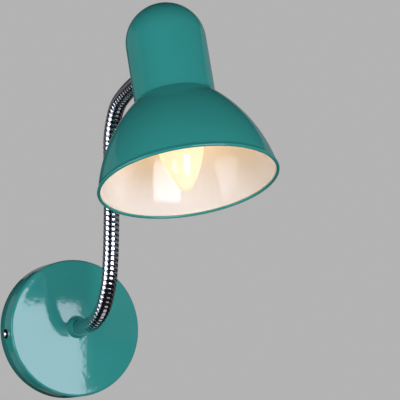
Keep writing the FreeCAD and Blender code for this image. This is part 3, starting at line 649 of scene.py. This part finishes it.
# %% [markdown]
# The sheet starts as a flat grid, one metre square about its middle.  Its X becomes the way
# along the arm and its Y the way round it.  Its first and last columns are drawn together to a
# point, which closes the ends of the stretch.

# %% Tree: the sheet's own coordinates
sheet = gn.new("GeometryNodeMeshGrid")
gl.new(wrap_in.outputs["Columns"], sheet.inputs["Vertices X"])
gl.new(sum_node("ADD", wrap_in.outputs["Sides"], 1), sheet.inputs["Vertices Y"])
flat = gn.new("GeometryNodeInputPosition")
parts = gn.new("ShaderNodeSeparateXYZ")
gl.new(flat.outputs[0], parts.inputs[0])
last_column = sum_node("SUBTRACT", wrap_in.outputs["Columns"], 1)
column = sum_node("MULTIPLY", sum_node("ADD", parts.outputs["X"], 0.5), last_column)
share = gn.new("ShaderNodeMapRange")
share.inputs["From Min"].default_value = 1
gl.new(column, share.inputs["Value"])
gl.new(sum_node("SUBTRACT", last_column, 1), share.inputs["From Max"])
around_share = sum_node("ADD", parts.outputs["Y"], 0.5)
not_first = sum_node("GREATER_THAN", column, 0.5)
not_last = sum_node("LESS_THAN", column, sum_node("SUBTRACT", last_column, 0.5))
open_end = sum_node("MULTIPLY", not_first, not_last)

# %% Tree: height of the thread
RIB_OUTLINE = ((0.09, 0.42), (0.24, 0.82), (0.5, 1.0), (0.76, 0.82), (0.91, 0.42))
along_arm = sum_node("ADD", wrap_in.outputs["Start"],
                     sum_node("MULTIPLY", share.outputs["Result"], wrap_in.outputs["Length"]))
turns = sum_node("ADD", sum_node("DIVIDE", along_arm, wrap_in.outputs["Rib Pitch"]),
                 around_share)
rib = gn.new("ShaderNodeFloatCurve")
gl.new(sum_node("FRACT", turns), rib.inputs["Value"])
outline_points = rib.mapping.curves[0].points
outline_points[0].location = (0.0, 0.0)
outline_points[1].location = (1.0, 0.0)
for x, y in RIB_OUTLINE:
    outline_points.new(x, y)
rib.mapping.update()
lifted = sum_node("MULTIPLY", rib.outputs[0], wrap_in.outputs["Rib Height"])
skin_radius = sum_node("MULTIPLY",
                       sum_node("ADD", lifted, wrap_in.outputs["Groove Radius"]), open_end)

# %% Tree: wrap, weld and finish
WELD = 0.01 * MM
as_curve = gn.new("GeometryNodeMeshToCurve")
gl.new(wrap_in.outputs["Line"], as_curve.inputs["Mesh"])
spot_on_line = gn.new("GeometryNodeSampleCurve")
spot_on_line.use_all_curves = True
gl.new(as_curve.outputs["Curve"], spot_on_line.inputs["Curves"])
gl.new(share.outputs["Result"], spot_on_line.inputs["Factor"])
angle = sum_node("MULTIPLY", around_share, 2 * math.pi)
across = way_node("CROSS_PRODUCT", spot_on_line.outputs["Tangent"], (1.0, 0.0, 0.0))
outward = way_node("ADD",
                   way_node("SCALE", (1.0, 0.0, 0.0), scale=sum_node("COSINE", angle)),
                   way_node("SCALE", across, scale=sum_node("SINE", angle)))
place = way_node("ADD", spot_on_line.outputs["Position"],
                 way_node("SCALE", outward, scale=skin_radius))
wrapped = gn.new("GeometryNodeSetPosition")
gl.new(sheet.outputs["Mesh"], wrapped.inputs["Geometry"])
gl.new(place, wrapped.inputs["Position"])
welded = gn.new("GeometryNodeMergeByDistance")
welded.inputs["Distance"].default_value = WELD
gl.new(wrapped.outputs["Geometry"], welded.inputs["Geometry"])
real = gn.new("GeometryNodeRealizeInstances")
gl.new(welded.outputs["Geometry"], real.inputs["Geometry"])
finished = gn.new("GeometryNodeSetMaterial")
gl.new(real.outputs["Geometry"], finished.inputs["Geometry"])
gl.new(wrap_in.outputs["Finish"], finished.inputs["Material"])
gl.new(finished.outputs["Geometry"], wrap_out.inputs["Skin"])
print("threaded skin tree has", len(gn), "nodes")


# %% Faces outwards
TO_MILLILITRES = 1e6


def outwards(piece):
    """Turns a closed piece's faces outwards and returns the volume it encloses, in ml."""
    volume = 0.0
    for face in piece.data.polygons:
        corners = [piece.data.vertices[v].co for v in face.vertices]
        for i in range(1, len(corners) - 1):
            volume += corners[0].dot(corners[i].cross(corners[i + 1])) / 6
    if volume < 0:
        piece.data.flip_normals()
    return abs(volume) * TO_MILLILITRES


# %% Run the tree on a stretch of the line
GROOVE_RADIUS = 5.88 * MM
RIB_HEIGHT = 0.32 * MM
RAIL_STEP = 0.3 * MM
COLUMNS_PER_RIB = 16
SIDES = 40
SHARP_ANGLE = math.radians(70)


def ribbed(name, start, end):
    """Closed stretch of the gooseneck between two distances along the arm."""
    count = round((end - start) / RAIL_STEP)
    points = [on_line(start + (end - start) * i / count) for i in range(count + 1)]
    rail = bpy.data.meshes.new(name + "_line")
    rail.from_pydata(points, [(i, i + 1) for i in range(count)], [])
    holder = bpy.data.objects.new(name + "_line", rail)
    scene.collection.objects.link(holder)
    modifier = holder.modifiers.new("wrap", "NODES")
    modifier.node_group = wrap
    values = {"Start": start, "Length": end - start, "Rib Pitch": RIB_PITCH,
              "Groove Radius": GROOVE_RADIUS, "Rib Height": RIB_HEIGHT,
              "Columns": round((end - start) / RIB_PITCH * COLUMNS_PER_RIB) + 3,
              "Sides": SIDES, "Finish": CHROME}
    for label, value in values.items():
        modifier[SKIN_INPUTS[label]] = value
    bpy.context.view_layer.update()
    ready = holder.evaluated_get(bpy.context.evaluated_depsgraph_get())
    mesh = bpy.data.meshes.new_from_object(ready)
    mesh.name = name
    bpy.data.objects.remove(holder)
    mesh.polygons.foreach_set("use_smooth", [True] * len(mesh.polygons))
    mesh.set_sharp_from_angle(angle=SHARP_ANGLE)
    made = bpy.data.objects.new(name, mesh)
    scene.collection.objects.link(made)
    return made


# %% Wrap the twelve stretches
INTO_SHADE = 0.5 * MM
for number in range(1, len(LINK_RIBS)):
    middle_below = (link_starts[number - 1] + link_starts[number]) / 2
    middle_above = (link_starts[number] + link_starts[number + 1]) / 2
    first = number == 1
    last = number == len(LINK_RIBS) - 1
    stretch = ribbed("gooseneck_%02d" % number, 0.0 if first else middle_below,
                     ARM_LENGTH + INTO_SHADE if last else middle_above)
    volume = outwards(stretch)
    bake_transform(stretch)
    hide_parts("arm_coil_%02d" % (number + 1), *(["arm_coil_01"] if first else []))
    print(stretch.name, len(stretch.data.polygons), "faces, %.2f ml" % volume)

# %% [markdown]
# ## Spun sheet
# The cup, the shade and the lamp's glass are all turned on one axis: a lathe presses a flat
# disc over a wooden form.  A short outline turned round the axis says the same thing in a
# mesh.  Faces are numbered by their place on the outline, so two finishes can share a piece.

# %% Turn an outline
ON_AXIS = 1e-6


def turned(name, outline, frame_matrix, finishes, finish_of, steps=128):
    """Closed mesh of revolution.  The outline is (radius, height) in mm and may touch the axis."""
    verts = []
    rows = []
    for radius, height in outline:
        if radius < ON_AXIS:
            rows.append([len(verts)] * steps)
            verts.append(Vector((0, 0, height * MM)))
            continue
        rows.append(list(range(len(verts), len(verts) + steps)))
        for step in range(steps):
            angle_now = 2 * math.pi * step / steps
            verts.append(Vector((radius * math.cos(angle_now), radius * math.sin(angle_now),
                                 height)) * MM)
    faces = []
    marks = []
    for index in range(len(rows)):
        here, after = rows[index], rows[(index + 1) % len(rows)]
        if here[0] == here[-1] and after[0] == after[-1]:
            continue
        for step in range(steps):
            ahead = (step + 1) % steps
            corners = [here[step], here[ahead], after[ahead], after[step]]
            faces.append([c for i, c in enumerate(corners) if c not in corners[:i]])
            marks.append(finish_of(index))
    mesh = bpy.data.meshes.new(name)
    mesh.from_pydata([frame_matrix @ v for v in verts], [], faces)
    for finish in finishes:
        mesh.materials.append(finish)
    mesh.polygons.foreach_set("material_index", marks)
    mesh.polygons.foreach_set("use_smooth", [True] * len(faces))
    made = bpy.data.objects.new(name, mesh)
    scene.collection.objects.link(made)
    return made


def arc(centre, radius, first, last, count):
    """Points on an arc, angles in degrees, both ends included."""
    points = []
    for step in range(count + 1):
        now = math.radians(first + (last - first) * step / count)
        points.append((centre[0] + radius * math.cos(now), centre[1] + radius * math.sin(now)))
    return points


def arc_between(start, end, radius, count):
    """Points on the short arc between two points, clockwise when the radius is negative."""
    (x0, y0), (x1, y1) = start, end
    chord = math.hypot(x1 - x0, y1 - y0)
    height = math.sqrt(radius * radius - chord * chord / 4)
    way = math.copysign(height, radius)
    cx = (x0 + x1) / 2 - (y1 - y0) / chord * way
    cy = (y0 + y1) / 2 + (x1 - x0) / chord * way
    first = math.degrees(math.atan2(y0 - cy, x0 - cx))
    last = math.degrees(math.atan2(y1 - cy, x1 - cx))
    if radius > 0 and last < first:
        last += 360
    if radius < 0 and last > first:
        last -= 360
    return arc((cx, cy), abs(radius), first, last, count)


# %% [markdown]
# ## The wall cup
# The cup has a straight side with a small rolled edge, a face that rises a little to the
# middle, and a drawn boss that holds the end of the gooseneck.  A cylinder with bevelled edges
# would come near it, but a flat face mirrors the soft box as one even patch.  The face is an
# arc of a large circle, so that the patch ends where it does in the photograph.

# %% Turn the cup
WALL = Matrix.Rotation(math.radians(90), 4, "X")
CUP_RADIUS, CUP_DEPTH, CUP_WALL, CUP_EDGE = 55, 25.5, 1, 2
FACE_REACH, LAND_REACH, LAND_DEPTH = 51, 10, 27.5
CROWN = 626
edge_centre = (CUP_RADIUS - CUP_EDGE, CUP_DEPTH - CUP_EDGE)
boss_outline = ([(7.6, LAND_DEPTH), (7.1, 27.7), (6.9, 28.2)] + arc((6.4, 30.5), 0.5, 0, 90, 4)
                + [(4.1, 31), (4.1, 30), (5.6, 30), (6.2, 29.4), (6.2, 26.5)])
cup_outline = (
    [(CUP_RADIUS, 0), (CUP_RADIUS, 12), (CUP_RADIUS, 22.5)]
    + arc(edge_centre, CUP_EDGE, 0, 90, 8)
    + arc_between((FACE_REACH, CUP_DEPTH), (LAND_REACH, LAND_DEPTH), CROWN, 16)
    + boss_outline
    + arc_between((LAND_REACH, LAND_DEPTH - CUP_WALL), (FACE_REACH, CUP_DEPTH - CUP_WALL),
                  -CROWN, 16)
    + [(CUP_RADIUS - CUP_EDGE, CUP_DEPTH - CUP_WALL)]
    + arc(edge_centre, CUP_EDGE - CUP_WALL, 90, 0, 4) + [(CUP_RADIUS - CUP_WALL, 0)])
cup = turned("wall_cup", cup_outline, WALL, [TEAL], lambda index: 0, steps=160)
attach(cup, "wall_mount")
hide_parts("canopy")
print("cup faces:", len(cup.data.polygons))

# %% [markdown]
# ## The collar
# A smooth enamelled collar sits on the cup's boss and closes the wound end of the gooseneck, so
# that no raw end of the winding shows.  It narrows from the cup to the winding, and it is a
# piece of its own, which comes off with the gooseneck.

# %% Turn the collar
COLLAR_FOOT, COLLAR_FRONT, COLLAR_BORE, COLLAR_ROUND = 27.6, 35.0, 6.28, 0.5
collar_outline = (
    [(7.5, COLLAR_FOOT), (8.3, COLLAR_FOOT), (7.9, 28.3), (7.65, 29.5), (7.45, 31), (7.2, 33)]
    + arc((6.6, COLLAR_FRONT - COLLAR_ROUND), COLLAR_ROUND, 0, 90, 6)
    + [(COLLAR_BORE, COLLAR_FRONT - 0.1), (COLLAR_BORE, 31.3), (7.0, 31.1), (7.0, 28.3)])
collar = turned("cup_collar", collar_outline, WALL, [TEAL], lambda index: 0, steps=96)
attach(collar, "wall_mount")
print("collar faces:", len(collar.data.polygons))

# %% [markdown]
# ## The shade
# The shade is one spun shell: a dome, a straight barrel, and a bell whose lip is rolled into a
# bead.  It could be a skin with a Solidify modifier, but the bead would still need its own
# outline, so both sides of the sheet and the bead are one closed line, turned.  It is teal
# outside and cream inside, and the two colours meet just inside the bead.

# %% Turn the shade
BARREL = 30.1
BARREL_INSIDE = 29.1
CREASE = 66.5
BELL_ARC, BELL_ARC_INSIDE = 115.6, 114.6
BEAD_CENTRE, BEAD_RADIUS = (65.7, 1.25), 1.25
DOME_BASE = 114.2
ARM_HEIGHT = 110.0
HEAD = (Matrix.Translation(ARM_END) @ ARM_ROLL @ Matrix.Rotation(-LEAN, 4, "X") @ HEAD_TWIST
        @ Matrix.Translation(Vector((0, -BARREL, -ARM_HEIGHT)) * MM))
bead_in = (64.9, 2.21)
bead_out = (66.1, 2.434)
outside = (arc((0, DOME_BASE), BARREL, 90, 0, 20) + [(BARREL, 100), (BARREL, 85), (BARREL, 70)]
           + [(BARREL, CREASE + 0.8), (BARREL + 0.25, CREASE - 0.25)]
           + arc_between((BARREL + 0.7, CREASE - 0.66), bead_out, -BELL_ARC, 34))
bead = arc(BEAD_CENTRE, BEAD_RADIUS, 71.3, -230.2, 12)[1:-1]
inside = (arc_between(bead_in, (BARREL_INSIDE, 66.1), BELL_ARC_INSIDE, 34)
          + [(BARREL_INSIDE, 85), (BARREL_INSIDE, 100)]
          + arc((0, DOME_BASE), BARREL_INSIDE, 0, 90, 20))
shade_outline = outside + bead + inside
first_cream = len(outside) + len(bead) - 1
shade = turned("spun_shade", shade_outline, HEAD, [TEAL, CREAM],
               lambda index: 1 if index >= first_cream else 0, steps=192)
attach(shade, "head")
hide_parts("shade_shell")
print("shade faces:", len(shade.data.polygons), "mouth centre", HEAD.translation / MM)

# %% [markdown]
# ## The candle lamp
# The opal glass has a round tip, a long curved flank, a shoulder and a neck in the screw cap.
# Each arc runs into the next without a corner, so their radii follow from the places where they
# meet.  It is turned whole, because nothing can be seen through lit opal glass.

# %% Turn the lamp
HOLDER_SEAT = 100.5
HOLDER_LEAN = math.radians(3)
HOLDER = HEAD @ Matrix.Translation((0, 0, HOLDER_SEAT * MM)) @ Matrix.Rotation(HOLDER_LEAN, 4, "X")
TIP = -104.0
TIP_ROUND, WIDEST, WAIST, NECK, FOOT = 6.0, 18.5, 48.5, 12.8, 67.5
flank = ((WAIST - TIP_ROUND) ** 2 + WIDEST ** 2 - TIP_ROUND ** 2) / (2 * (WIDEST - TIP_ROUND))
shoulder = ((WIDEST - NECK) ** 2 + (FOOT - WAIST) ** 2) / (2 * (WIDEST - NECK))
meet = math.degrees(math.atan2(-(WAIST - TIP_ROUND), flank - WIDEST))
glass_outline = (
    arc((0, TIP + TIP_ROUND), TIP_ROUND, -90, meet, 8)
    + arc((WIDEST - flank, TIP + WAIST), flank, meet, 0, 24)[1:]
    + arc((WIDEST - shoulder, TIP + WAIST), shoulder, 0,
          math.degrees(math.asin((FOOT - WAIST) / shoulder)), 10)[1:]
    + [(11.8, TIP + FOOT), (0, TIP + FOOT)])
glass = turned("lamp_opal_glass", glass_outline, HOLDER, [OPAL], lambda index: 0, steps=96)
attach(glass, "head")
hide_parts("lamp_glass")
print("glass faces:", len(glass.data.polygons))

# %% [markdown]
# ## Last checks
# A turned outline gives a closed piece, but its faces look inwards if the outline runs the other
# way round.  The volume that the faces enclose comes out negative then, so it tells which
# pieces to turn.

# %% Normals outwards
for piece in (cup, collar, shade, glass):
    print(piece.name, "encloses %.1f ml" % outwards(piece))
